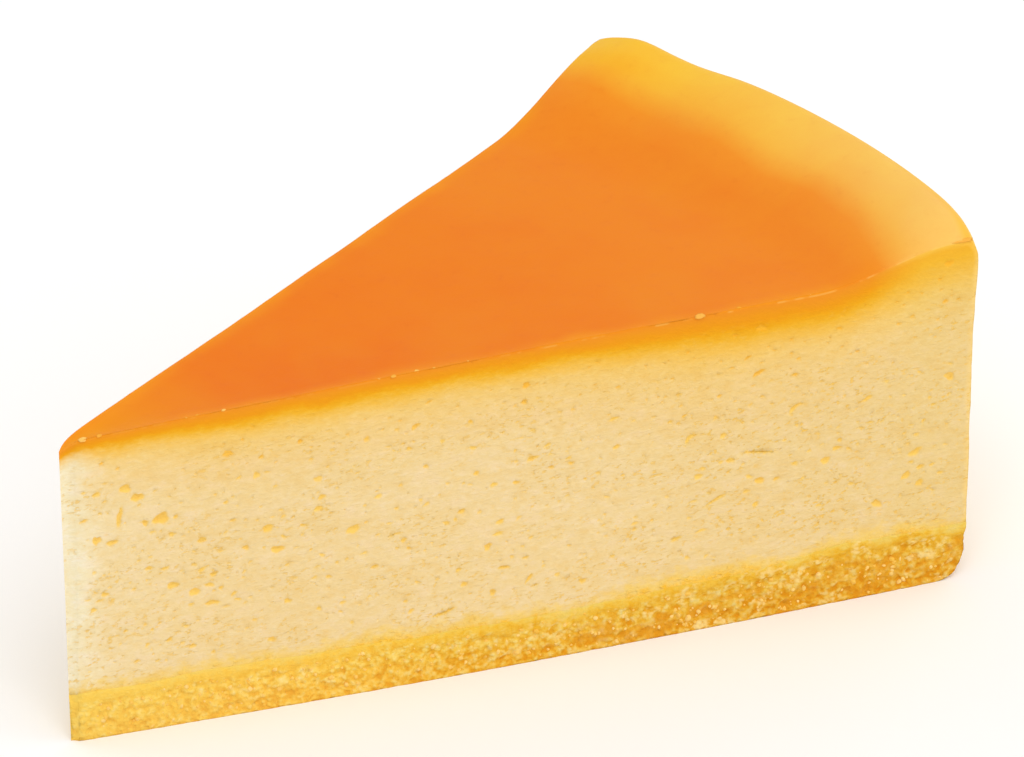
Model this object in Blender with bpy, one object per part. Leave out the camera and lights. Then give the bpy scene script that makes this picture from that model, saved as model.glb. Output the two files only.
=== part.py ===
"""A slice of baked cheesecake, cut as a narrow wedge from a round cake.

The slice stands on its crumb base. Its tip points along -X and its rim along +X, with +Z up.
The origin is under the middle of the slice, at the level that it stands on.
Sizes are in metres.
"""

import math

import bmesh
import bpy
from mathutils import Vector, noise

# The round cake and the wedge cut from it
CAKE_RADIUS = 0.1053
SLICE_ANGLE = math.radians(35.5)
TIP_RADIUS = 0.0017
TIP_SKEW_LOW = 0.0003
TIP_SKEW_TOP = 0.0009

# The top: nearly flat, with a raised rim
TIP_HEIGHT = 0.0365
TOP_SLOPE = 0.0235
TOP_DISH = 0.0003
TOP_TILT = 0.00025
TIP_DROP = 0.0020
TIP_DROP_LENGTH = 0.0013
RIM_START = 0.0843
RIM_START_SKEW = 0.0022
RIM_CREST_RADIUS = 0.1030
RIM_CREST_HEIGHT = 0.0442
RIM_SKEW = 0.0003
RIM_HUMP = 0.0004
RIM_HUMP_AT = 0.83
RIM_HUMP_WIDTH = 0.09
RIM_DIP = 0.0005
RIM_DIP_AT = 0.57
RIM_DIP_WIDTH = 0.16
RIM_DROOP = 0.0018
RIM_DROOP_SKEW = 0.0006
RIM_DROOP_LENGTH = 0.0022
RIM_ROUND = 0.0023

# The outer wall and its lower corner
WALL_LEAN = 0.0003
WALL_BULGE = 0.0003
WALL_BULGE_AT = 0.0385
WALL_BULGE_WIDTH = 0.004
FOOT_ROUND = 0.0034

# The crumb base and the custard that sits on it
BASE_HEIGHT = 0.0057
BASE_RISE = 0.0012
BASE_RISE_START = 0.078
BASE_RISE_END = 0.092
BASE_WAVE = 0.0003
BASE_WAVE_LENGTH = 0.045
BASE_BUMP = 0.0003
BASE_BUMP_SIZE = 0.006
LAYER_GAP = 0.0003
CRUMB_DEPTH = 0.0009
CRUMB_SIZE = 0.0022

# The cut faces: gentle waves, and a low swell where the soft slice settles
CUT_WAVE = 0.0002
CUT_WAVE_SIZE = 0.018
CUT_SWELL = 0.0007
CUT_SWELL_SKEW = 0.0003
CUT_SWELL_HEIGHT = 0.022
TIP_INSET_SHARE = 0.3

# Rows of faces along the slice, across it and up it
CUSTARD_ROWS = (44, 12, 8)
BASE_ROWS = (56, 12, 4)
ROUND_STEPS = 3


def smoothstep(low, high, value):
    """A soft step from 0 at low to 1 at high."""
    t = min(max((value - low) / (high - low), 0.0), 1.0)
    return t * t * (3.0 - 2.0 * t)


def bump(centre, width, value):
    """A soft hill of height 1."""
    return math.exp(-(((value - centre) / width) ** 2))


def crest_height(side):
    """Height of the rim's crest, for side from -1 at the near cut to 1 at the far cut."""
    edge_distance = (1.0 - abs(side)) * CAKE_RADIUS * SLICE_ANGLE / 2.0
    height = RIM_CREST_HEIGHT - RIM_SKEW * side
    height += RIM_HUMP * bump(RIM_HUMP_AT, RIM_HUMP_WIDTH, side)
    height -= RIM_DIP * bump(RIM_DIP_AT, RIM_DIP_WIDTH, side)
    droop = RIM_DROOP - RIM_DROOP_SKEW * side
    return height - droop * math.exp(-edge_distance / RIM_DROOP_LENGTH)


def top_height(radius, side):
    """Height of the browned top over the base's underside."""
    plain = TIP_HEIGHT + TOP_SLOPE * radius - TOP_DISH * (1.0 - side * side)
    plain -= TOP_TILT * side * math.sin(math.pi * radius / CAKE_RADIUS)
    plain -= TIP_DROP * math.exp(-radius / TIP_DROP_LENGTH)
    start = RIM_START - RIM_START_SKEW * side
    rise = crest_height(side) - (TIP_HEIGHT + TOP_SLOPE * RIM_CREST_RADIUS)
    return plain + rise * smoothstep(start, RIM_CREST_RADIUS, radius)


def base_height(radius, side):
    """Height of the uneven line where the crumb base ends and the custard begins."""
    x = radius * math.cos(side * SLICE_ANGLE / 2.0)
    y = radius * math.sin(side * SLICE_ANGLE / 2.0)
    wave = math.sin(2.0 * math.pi * (x + y) / BASE_WAVE_LENGTH)
    rough = noise.noise(Vector((x, y, 0.0)) / BASE_BUMP_SIZE)
    rise = BASE_RISE * smoothstep(BASE_RISE_START, BASE_RISE_END, radius)
    return BASE_HEIGHT + rise + BASE_WAVE * wave + BASE_BUMP * rough


def wall_inset(height, roof):
    """How far the outer wall stands in from the cake's radius at a height under the rim's roof."""
    inset = WALL_LEAN * (1.0 - height / roof)
    inset -= WALL_BULGE * bump(WALL_BULGE_AT, WALL_BULGE_WIDTH, height)
    top_gap = height - (roof - RIM_ROUND)
    if top_gap > 0.0:
        inset += RIM_ROUND - math.sqrt(max(RIM_ROUND**2 - top_gap**2, 0.0))
    foot_gap = FOOT_ROUND - height
    if foot_gap > 0.0:
        inset += FOOT_ROUND - math.sqrt(max(FOOT_ROUND**2 - foot_gap**2, 0.0))
    return inset


def cut_inset(radius, height, side, depth, size):
    """How far a cut face stands in from its flat plane, a little less at the thin tip."""
    spot = Vector((radius, height, math.copysign(CAKE_RADIUS, side)))
    inset = depth * (0.5 + 0.5 * noise.noise(spot / size))
    if height < CUT_SWELL_HEIGHT:
        swell = (CUT_SWELL - CUT_SWELL_SKEW * side) * (1.0 - height / CUT_SWELL_HEIGHT) ** 2
        inset -= swell * math.sin(math.pi * radius / CAKE_RADIUS)
    return min(inset, TIP_INSET_SHARE * radius * SLICE_ANGLE / 2.0)


def place(radius, height, side, inset):
    """The point at a radius and height, with the wedge narrowed by inset at each cut."""
    angle = side * (SLICE_ANGLE / 2.0 - inset / radius)
    return Vector((radius * math.cos(angle), radius * math.sin(angle), height))


def layer_point(along, side, up, floor, roof, relief, relief_size):
    """The point of a layer at fractions along, across (-1 to 1) and up it."""
    rim_roof = roof(CAKE_RADIUS - RIM_ROUND, side)
    rim_floor = floor(CAKE_RADIUS, side)
    wall_height = rim_floor + up * (rim_roof - rim_floor)
    crest = top_height(CAKE_RADIUS - RIM_ROUND, side)
    outer = CAKE_RADIUS - wall_inset(wall_height, crest)
    tip_skew = TIP_SKEW_LOW + (TIP_SKEW_TOP - TIP_SKEW_LOW) * wall_height / RIM_CREST_HEIGHT
    inner = TIP_RADIUS - tip_skew * side
    radius = inner + along * (outer - inner)
    low = floor(radius, side)
    height = low + up * (roof(radius, side) - low)
    return place(radius, height, side, cut_inset(radius, height, side, relief, relief_size))


def even_steps(count, low=0.0, high=1.0):
    """Count even steps from low to high."""
    return [low + (high - low) * i / count for i in range(count + 1)]


def side_steps(count):
    """Steps from one cut to the other, closer together near the cuts."""
    return [math.sin(math.pi / 2.0 * step) for step in even_steps(count, -1.0)]


def rounded_steps(count, round_size, full_size, at_top):
    """Even steps over a wall's straight part, then closer ones round its corner."""
    share = round_size / full_size
    straight = even_steps(count, 0.0, 1.0 - share)
    corner = [
        1.0 - share + share * math.sin(math.pi / 2.0 * step)
        for step in even_steps(ROUND_STEPS)[1:]
    ]
    steps = straight + corner
    return steps if at_top else [1.0 - step for step in reversed(steps)]


def block_mesh(name, alongs, sides, ups, point):
    """A closed mesh over the six sides of a grid, each grid point placed by point()."""
    last = (len(alongs) - 1, len(sides) - 1, len(ups) - 1)
    mesh = bmesh.new()
    corners = {}
    for i, along in enumerate(alongs):
        for j, side in enumerate(sides):
            for k, up in enumerate(ups):
                if i in (0, last[0]) or j in (0, last[1]) or k in (0, last[2]):
                    corners[i, j, k] = mesh.verts.new(point(along, side, up))
    for axis in range(3):
        first, second = [a for a in range(3) if a != axis]
        for level in (0, last[axis]):
            for a in range(last[first]):
                for b in range(last[second]):
                    ring = []
                    for da, db in ((0, 0), (1, 0), (1, 1), (0, 1)):
                        key = [level, level, level]
                        key[first] = a + da
                        key[second] = b + db
                        ring.append(corners[tuple(key)])
                    mesh.faces.new(ring)
    bmesh.ops.recalc_face_normals(mesh, faces=mesh.faces)
    data = bpy.data.meshes.new(name)
    mesh.to_mesh(data)
    mesh.free()
    return data


def make_material(name, colour, roughness):
    """A plain Principled material."""
    material = bpy.data.materials.new(name)
    material.use_nodes = True
    shader = material.node_tree.nodes["Principled BSDF"]
    shader.inputs["Base Color"].default_value = (*colour, 1.0)
    shader.inputs["Roughness"].default_value = roughness
    shader.inputs["Metallic"].default_value = 0.0
    return material


def add_layer(name, data, material):
    """An object for a layer's mesh, smooth but for its cut edges."""
    part = bpy.data.objects.new(name, data)
    bpy.context.scene.collection.objects.link(part)
    data.materials.append(material)
    data.shade_smooth()
    data.set_sharp_from_angle(angle=math.radians(40.0))
    return part


def make_custard():
    """The baked custard, with its browned top and raised rim."""

    def floor(radius, side):
        return base_height(radius, side) + LAYER_GAP

    def point(along, side, up):
        return layer_point(along, side, up, floor, top_height, CUT_WAVE, CUT_WAVE_SIZE)

    along_count, side_count, up_count = CUSTARD_ROWS
    ups = rounded_steps(up_count, RIM_ROUND, RIM_CREST_HEIGHT - BASE_HEIGHT, True)
    data = block_mesh("custard", even_steps(along_count), side_steps(side_count), ups, point)
    return add_layer("custard", data, make_material("baked_custard", (0.87, 0.62, 0.27), 0.55))


def make_base():
    """The layer of crumb under the custard, with rough sides and a flat underside."""

    def floor(radius, side):
        return 0.0

    def point(along, side, up):
        return layer_point(along, side, up, floor, base_height, CRUMB_DEPTH, CRUMB_SIZE)

    along_count, side_count, up_count = BASE_ROWS
    ups = rounded_steps(up_count, FOOT_ROUND, BASE_HEIGHT, False)
    data = block_mesh("crumb_base", even_steps(along_count), side_steps(side_count), ups, point)
    return add_layer("crumb_base", data, make_material("crumb_base", (0.84, 0.47, 0.09), 0.9))


def centre_over_origin(parts):
    """Move the meshes so that the slice's box is centred over the origin."""
    points = [vertex.co for part in parts for vertex in part.data.vertices]
    for axis in (0, 1):
        values = [point[axis] for point in points]
        middle = (min(values) + max(values)) / 2.0
        for point in points:
            point[axis] -= middle


def main():
    for old in list(bpy.data.objects):
        bpy.data.objects.remove(old, do_unlink=True)
    centre_over_origin([make_custard(), make_base()])


main()
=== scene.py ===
"""The finished look of a slice of baked cheesecake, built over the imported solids.

Each layer's solid is replaced by a fine mesh of the same form, with the pores of the custard cut
open and the crumb of the base in relief. Sizes are in metres, apart from those named in millimetres.
"""

import math

import bmesh
import bpy
import numpy as np
from mathutils import Matrix, Vector, geometry, noise


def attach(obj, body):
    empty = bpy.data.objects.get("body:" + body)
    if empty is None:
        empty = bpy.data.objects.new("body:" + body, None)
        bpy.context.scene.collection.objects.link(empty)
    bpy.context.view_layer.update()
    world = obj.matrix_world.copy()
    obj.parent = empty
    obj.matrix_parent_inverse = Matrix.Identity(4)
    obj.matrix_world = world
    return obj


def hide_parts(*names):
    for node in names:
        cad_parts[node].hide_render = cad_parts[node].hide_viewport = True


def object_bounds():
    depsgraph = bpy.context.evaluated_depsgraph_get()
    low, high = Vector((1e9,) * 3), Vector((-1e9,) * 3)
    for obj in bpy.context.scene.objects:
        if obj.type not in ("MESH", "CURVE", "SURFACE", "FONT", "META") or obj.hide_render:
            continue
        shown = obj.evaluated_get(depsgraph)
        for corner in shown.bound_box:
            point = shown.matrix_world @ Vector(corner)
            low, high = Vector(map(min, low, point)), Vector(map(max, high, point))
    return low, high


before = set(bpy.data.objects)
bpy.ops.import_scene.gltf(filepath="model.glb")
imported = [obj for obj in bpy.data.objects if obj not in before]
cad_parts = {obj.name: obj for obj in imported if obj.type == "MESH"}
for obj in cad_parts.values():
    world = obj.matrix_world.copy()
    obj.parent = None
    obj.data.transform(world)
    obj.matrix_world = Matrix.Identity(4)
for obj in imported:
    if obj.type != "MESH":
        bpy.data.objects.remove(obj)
cad_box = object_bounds()

MM = 0.001
SEED = 27
NEAR = -1.0
FAR = 1.0

# The wedge, as in the solids
CAKE_RADIUS = 0.1053
HALF_ANGLE = math.radians(35.5) / 2.0
CUT_FACING = HALF_ANGLE + math.pi / 2.0
TIP_RADIUS = 0.0017
TIP_SKEW_LOW = 0.0003
TIP_SKEW_TOP = 0.0009
TIP_HEIGHT = 0.0365
TOP_SLOPE = 0.0235
TOP_DISH = 0.0003
TOP_TILT = 0.00025
TIP_DROP = 0.0020
TIP_DROP_LENGTH = 0.0013
RIM_START = 0.0843
RIM_START_SKEW = 0.0022
RIM_CREST_RADIUS = 0.1030
RIM_CREST_HEIGHT = 0.0442
RIM_SKEW = 0.0003
RIM_HUMP = 0.0004
RIM_HUMP_AT = 0.83
RIM_HUMP_WIDTH = 0.09
RIM_DIP = 0.0005
RIM_DIP_AT = 0.57
RIM_DIP_WIDTH = 0.16
RIM_DROOP = 0.0018
RIM_DROOP_SKEW = 0.0006
RIM_DROOP_LENGTH = 0.0022
RIM_ROUND = 0.0023
WALL_LEAN = 0.0003
WALL_BULGE = 0.0003
WALL_BULGE_AT = 0.0385
WALL_BULGE_WIDTH = 0.004
FOOT_ROUND = 0.0034
BASE_HEIGHT = 0.0057
BASE_RISE = 0.0012
BASE_RISE_START = 0.078
BASE_RISE_END = 0.092
BASE_WAVE = 0.0003
BASE_WAVE_LENGTH = 0.045
BASE_BUMP = 0.0003
BASE_BUMP_SIZE = 0.006
CUT_WAVE = 0.0002
CUT_WAVE_SIZE = 0.018
CUT_SWELL = 0.0007
CUT_SWELL_SKEW = 0.0003
CUT_SWELL_HEIGHT = 0.022
TIP_INSET_SHARE = 0.3

# How softly the tip's two upright edges are rounded, and how far in any cut may reach there
TIP_ROUND = 0.0009
TIP_ROUND_INSET = 0.00016
CUT_LIMIT_SHARE = 0.8

# Rows of faces along the slice, across it and up it, where the surface is smooth
CUSTARD_ROWS = (180, 56, 44)
BASE_ROWS = (180, 40, 10)
CORNER_STEPS = 9
LAYER_OVERLAP = 0.0002
BASE_PROUD = 0.00002

# Spacing of points in the hidden levels, in millimetres
CUSTARD_FLOOR_SPACING = 4.0
UNDERSIDE_SPACING = 2.5
BASE_TOP_SPACING = 3.0

# Spans that hold the slice's length, width and height and the base's height, in millimetres
LENGTH_SPAN = 106.0
WIDTH_SPAN = 68.0
HEIGHT_SPAN = 46.0
BASE_SPAN = 8.6

# The custard's cut faces, in millimetres
CUT_SPACING = 0.5
CUT_MARGIN = 0.36
EDGE_ROW = 0.16

# Waves in relief, in millimetres: depth, length, width or height, and for most a seed
CUT_RIPPLE = (0.045, 2.4, 0.8)
CUT_BROAD_RIPPLE = (0.072, 7.0, 2.6)
TOP_SWELLS = ((0.10, 13.0, 13.0, 1.0), (0.035, 3.2, 3.2, 4.0))
RIM_SWELLS = ((0.10, 4.0, 6.0, 9.0),)
WALL_DENTS = ((0.16, 6.0, 5.0, 12.0), (0.06, 1.8, 1.6, 15.0))

# How the custard's blunt tip, torn top edge and upright outer edges give way, in millimetres
TIP_BELLY = 0.12
TORN_DEPTH = 0.03
TORN_INSET = 0.04
CORNER_RADIUS_LOSS = 0.12
CORNER_INSET = 0.08

# The small pores of the cuts, in millimetres. Lengths are drawn from a lognormal spread, and
# centres keep apart by a share of both pores' lengths or thicknesses.
PORE_COUNT = 720
PORE_TRIES = 6000
PORE_RADII = (3.0, 103.5)
PORE_HEIGHTS = (8.0, 40.0)
PORE_LENGTHS = (0.3, 1.4)
PORE_LOG_LENGTH = (-0.62, 0.42)
PORE_THICKNESS_SHARES = (0.38, 0.75)
PORE_TILT = (6.0, 14.0)
PORE_GAP_SHARES = (0.6, 0.65)
PORE_DEPTH_SHARES = (0.05, 0.26)
PORE_DEPTH_SPREAD = (0.75, 1.15)
PORE_DEPTHS = (0.08, 0.45)
PORE_LOBES = ((2, 0.24), (3, 0.18), (5, 0.1))
PORE_RINGS = (1.15, 0.8, 0.4)
LARGE_PORE_RINGS = (1.18, 0.96, 0.72, 0.4)
LARGE_PORE_REACH = 0.42

# How dense the small pores are on each cut: everywhere, and in soft hills of density, each with
# its height, its place and width along the cut, and its place and width up it
PORE_FIELDS = {
    NEAR: (0.34, (
        (0.5, 12.0, 22.0, 20.0, 9.0),
        (0.75, 92.0, 10.0, 20.0, 6.5),
        (0.25, 45.0, 20.0, 13.0, 7.0),
    )),
    FAR: (0.38, (
        (0.45, 35.0, 24.0, 18.0, 9.0),
        (0.5, 84.0, 14.0, 22.0, 8.0),
    )),
}
PORELESS_SKIN = 2.0

# The larger pores of the near cut: distance from the tip, height, length, thickness, tilt in
# degrees, and the rise of the middle where the pore is bent
NEAR_PORES = [
    (11.8, 25.4, 1.7, 1.4, 5),
    (10.0, 25.2, 0.6, 0.9, 0),
    (13.4, 25.3, 0.7, 0.5, 0),
    (16.3, 21.9, 1.3, 0.6, 5),
    (23.7, 21.9, 1.6, 0.8, 6),
    (15.3, 15.8, 1.2, 1.1, 0),
    (17.3, 14.1, 1.6, 0.6, 0),
    (17.5, 17.5, 1.1, 0.5, 3),
    (4.6, 24.1, 1.1, 0.9, 50),
    (7.2, 26.4, 2.6, 0.6, 80),
    (7.9, 29.7, 1.6, 0.9, 0),
    (29.4, 23.1, 1.4, 0.6, 4, 0.1),
    (21.2, 19.9, 0.9, 0.6, -5, 0.1),
    (12.1, 19.3, 1.1, 0.5, 15),
    (27.7, 21.5, 0.9, 0.5, -10),
    (33.3, 19.9, 1.8, 1.0, 24),
    (39.0, 17.5, 0.9, 0.5, 25),
    (38.0, 18.4, 1.3, 0.4, 15),
    (45.8, 10.8, 1.0, 0.6, 30),
    (50.4, 12.0, 1.4, 0.5, -5),
    (43.4, 7.9, 3.4, 0.35, 14, -0.1),
    (53.3, 10.1, 1.7, 0.4, 50),
    (49.8, 16.2, 1.6, 0.5, 5),
    (59.5, 8.6, 0.9, 0.7, 0),
    (49.1, 9.2, 0.8, 0.8, 0),
    (72.2, 23.4, 1.8, 0.6, 34, 0.45),
    (84.5, 24.8, 2.1, 0.6, 40, 0.5),
    (80.1, 20.3, 3.8, 0.35, -8, 0.15),
    (89.3, 19.2, 1.3, 0.5, 10),
    (88.0, 17.9, 1.2, 0.9, 0),
    (84.4, 18.2, 0.8, 0.7, 0),
    (98.6, 17.0, 1.9, 0.8, 34),
    (99.3, 15.0, 0.9, 0.7, 0),
    (75.2, 15.5, 2.6, 0.5, 25),
    (72.5, 15.8, 1.2, 0.35, 5),
    (78.7, 15.7, 1.0, 0.5, 0, 0.15),
    (73.4, 12.0, 1.4, 0.5, 5),
]

# The crumb of the base, in millimetres
CRUMB_SPACING = 0.18
CRUMB_BROAD_DEPTH = 0.15
CRUMB_BROAD_SIZE = 2.2
CRUMB_GRAINS = ((1.2, 0.22), (0.6, 0.2))
CRUMB_PIT_DEPTH = 0.2
CRUMB_PIT_SIZE = 1.2
CRUMB_PIT_HEIGHT = 0.8
CRUMB_CALM = (0.5, 2.0)
WALL_CRUMB_SHARE = 0.8
CRUMB_COUNT = 800
CRUMBS_ON_CUTS = 0.72
CRUMB_LOG_SIZE = (-1.75, 0.35)
CRUMB_SIZES = (0.09, 0.32)

# Torn flakes of skin that show on the near cut's top edge: distance from the tip and size, in millimetres
NEAR_FLAKES = [(3.4, 0.3), (5.2, 0.2), (38.0, 0.2), (40.7, 0.22), (73.0, 0.34), (77.6, 0.2)]
SLIVER = (103.4, 0.26)
SLIVER_STRETCH = 5.0
RANDOM_FLAKES = 14

# Camera: fitted to the photo's outline, aimed so that no lens shift is needed
CAMERA_AZIMUTH = -38.15
CAMERA_ELEVATION = 28.02
CAMERA_DISTANCE = 0.850
CAMERA_TARGET = (0.00785, -0.00025, 0.02448)
CAMERA_LENS = 272.3

# The studio: a floor's half width, the surround's strength, and lights with place, size and watts
FLOOR_HALF = 3.0
SURROUND = 0.64
LIGHT_TARGET = (0.0, 0.0, 0.02)
LIGHTS = (
    ("key_light", (-0.45, -0.75, 1.25), 0.9, 8.2),
    ("fill_light", (0.9, -0.9, 0.6), 1.2, 3.8),
    ("back_light", (-0.35, 1.2, 0.5), 1.2, 4.0),
    ("side_light", (1.3, 0.35, 0.55), 1.0, 2.6),
)


def smoothstep(low, high, value):
    """A soft step from 0 at low to 1 at high."""
    t = np.clip((value - low) / (high - low), 0.0, 1.0)
    return t * t * (3.0 - 2.0 * t)


def bump(centre, width, value):
    """A soft hill of height 1."""
    return np.exp(-(((value - centre) / width) ** 2))


def rough(x, y, z, seed=0.0):
    """Smooth noise from about -1 to 1 at each point."""
    spots = np.stack(np.broadcast_arrays(x, y, z), -1) + seed
    flat = [noise.noise(spot) for spot in spots.reshape(-1, 3).tolist()]
    return np.array(flat).reshape(spots.shape[:-1])


def grains(x, y, z, seed=0.0):
    """Distance to the nearest of scattered grain centres, one to each unit cube."""
    spots = np.stack(np.broadcast_arrays(x, y, z), -1) + seed
    flat = [noise.voronoi(spot)[0][0] for spot in spots.reshape(-1, 3).tolist()]
    return np.array(flat).reshape(spots.shape[:-1])


def relief(x, y, waves):
    """The sum of waves in relief, in millimetres."""
    return sum(depth * rough(x / length, y / width, seed) for depth, length, width, seed in waves)


def crest_height(side):
    """Height of the rim's crest, for side from -1 at the near cut to 1 at the far cut."""
    edge_distance = (1.0 - np.abs(side)) * CAKE_RADIUS * HALF_ANGLE
    height = RIM_CREST_HEIGHT - RIM_SKEW * side
    height = height + RIM_HUMP * bump(RIM_HUMP_AT, RIM_HUMP_WIDTH, side)
    height = height - RIM_DIP * bump(RIM_DIP_AT, RIM_DIP_WIDTH, side)
    return height - (RIM_DROOP - RIM_DROOP_SKEW * side) * np.exp(-edge_distance / RIM_DROOP_LENGTH)


def top_height(radius, side):
    """Height of the browned top over the base's underside."""
    plain = TIP_HEIGHT + TOP_SLOPE * radius - TOP_DISH * (1.0 - side * side)
    plain = plain - TOP_TILT * side * np.sin(math.pi * radius / CAKE_RADIUS)
    plain = plain - TIP_DROP * np.exp(-radius / TIP_DROP_LENGTH)
    start = RIM_START - RIM_START_SKEW * side
    rise = crest_height(side) - (TIP_HEIGHT + TOP_SLOPE * RIM_CREST_RADIUS)
    return plain + rise * smoothstep(start, RIM_CREST_RADIUS, radius)


def base_height(radius, side):
    """Height of the uneven line where the crumb base ends and the custard begins."""
    x = radius * np.cos(side * HALF_ANGLE)
    y = radius * np.sin(side * HALF_ANGLE)
    wave = np.sin(2.0 * math.pi * (x + y) / BASE_WAVE_LENGTH)
    uneven = rough(x / BASE_BUMP_SIZE, y / BASE_BUMP_SIZE, 0.0)
    rise = BASE_RISE * smoothstep(BASE_RISE_START, BASE_RISE_END, radius)
    return BASE_HEIGHT + rise + BASE_WAVE * wave + BASE_BUMP * uneven


def wall_inset(height, roof):
    """How far the outer wall stands in from the cake's radius at a height under the rim's roof."""
    inset = WALL_LEAN * (1.0 - height / roof) - WALL_BULGE * bump(WALL_BULGE_AT, WALL_BULGE_WIDTH, height)
    top_gap = np.clip(height - (roof - RIM_ROUND), 0.0, RIM_ROUND)
    foot_gap = np.clip(FOOT_ROUND - height, 0.0, FOOT_ROUND)
    inset = inset + RIM_ROUND - np.sqrt(RIM_ROUND**2 - top_gap**2)
    return inset + FOOT_ROUND - np.sqrt(FOOT_ROUND**2 - foot_gap**2)


def outer_radius(height, side):
    """Radius of the outer wall at a height."""
    return CAKE_RADIUS - wall_inset(height, top_height(CAKE_RADIUS - RIM_ROUND, side))


def cut_form(radius, height, side):
    """How far the cut faces stand in from their flat planes."""
    spot = (radius / CUT_WAVE_SIZE, height / CUT_WAVE_SIZE, np.sign(side) * CAKE_RADIUS / CUT_WAVE_SIZE)
    inset = CUT_WAVE * (0.5 + 0.5 * rough(*spot))
    low = np.clip(1.0 - height / CUT_SWELL_HEIGHT, 0.0, 1.0) ** 2
    inset = inset - (CUT_SWELL - CUT_SWELL_SKEW * side) * low * np.sin(math.pi * radius / CAKE_RADIUS)
    return np.minimum(inset, TIP_INSET_SHARE * radius * HALF_ANGLE)


def inner_radius(height, side):
    """Radius of the tip's blunt end at a height."""
    return TIP_RADIUS - (TIP_SKEW_LOW + (TIP_SKEW_TOP - TIP_SKEW_LOW) * height / RIM_CREST_HEIGHT) * side


def tip_round(radius, height, side):
    """How far the cut faces turn in at their thin edge by the tip."""
    inner = inner_radius(height, side)
    return TIP_ROUND_INSET * np.clip(1.0 - (radius - inner) / TIP_ROUND, 0.0, 1.0) ** 2


def rounded_cut(radius, height, side):
    """How far the cut faces stand in, with the tip's edges rounded."""
    return cut_form(radius, height, side) + tip_round(radius, height, side)


WEDGE_SHIFT = cad_box[1].x - float(outer_radius(WALL_BULGE_AT, 0.0))


def place(radius, height, side, inset):
    """Points in the part's frame, with the wedge narrowed by inset at each cut."""
    angle = side * (HALF_ANGLE - inset / radius)
    return np.stack([radius * np.cos(angle) + WEDGE_SHIFT, radius * np.sin(angle), height], -1)


def corner_steps(count, round_size, full_size, at_top):
    """Even steps over a wall's straight part, then closer ones round its corner."""
    share = round_size / full_size
    straight = np.linspace(0.0, 1.0 - share, count + 1)
    corner = 1.0 - share + share * np.sin(math.pi / 2.0 * np.linspace(0.0, 1.0, CORNER_STEPS + 1)[1:])
    steps = np.concatenate([straight, corner])
    return steps if at_top else 1.0 - steps[::-1]


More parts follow.
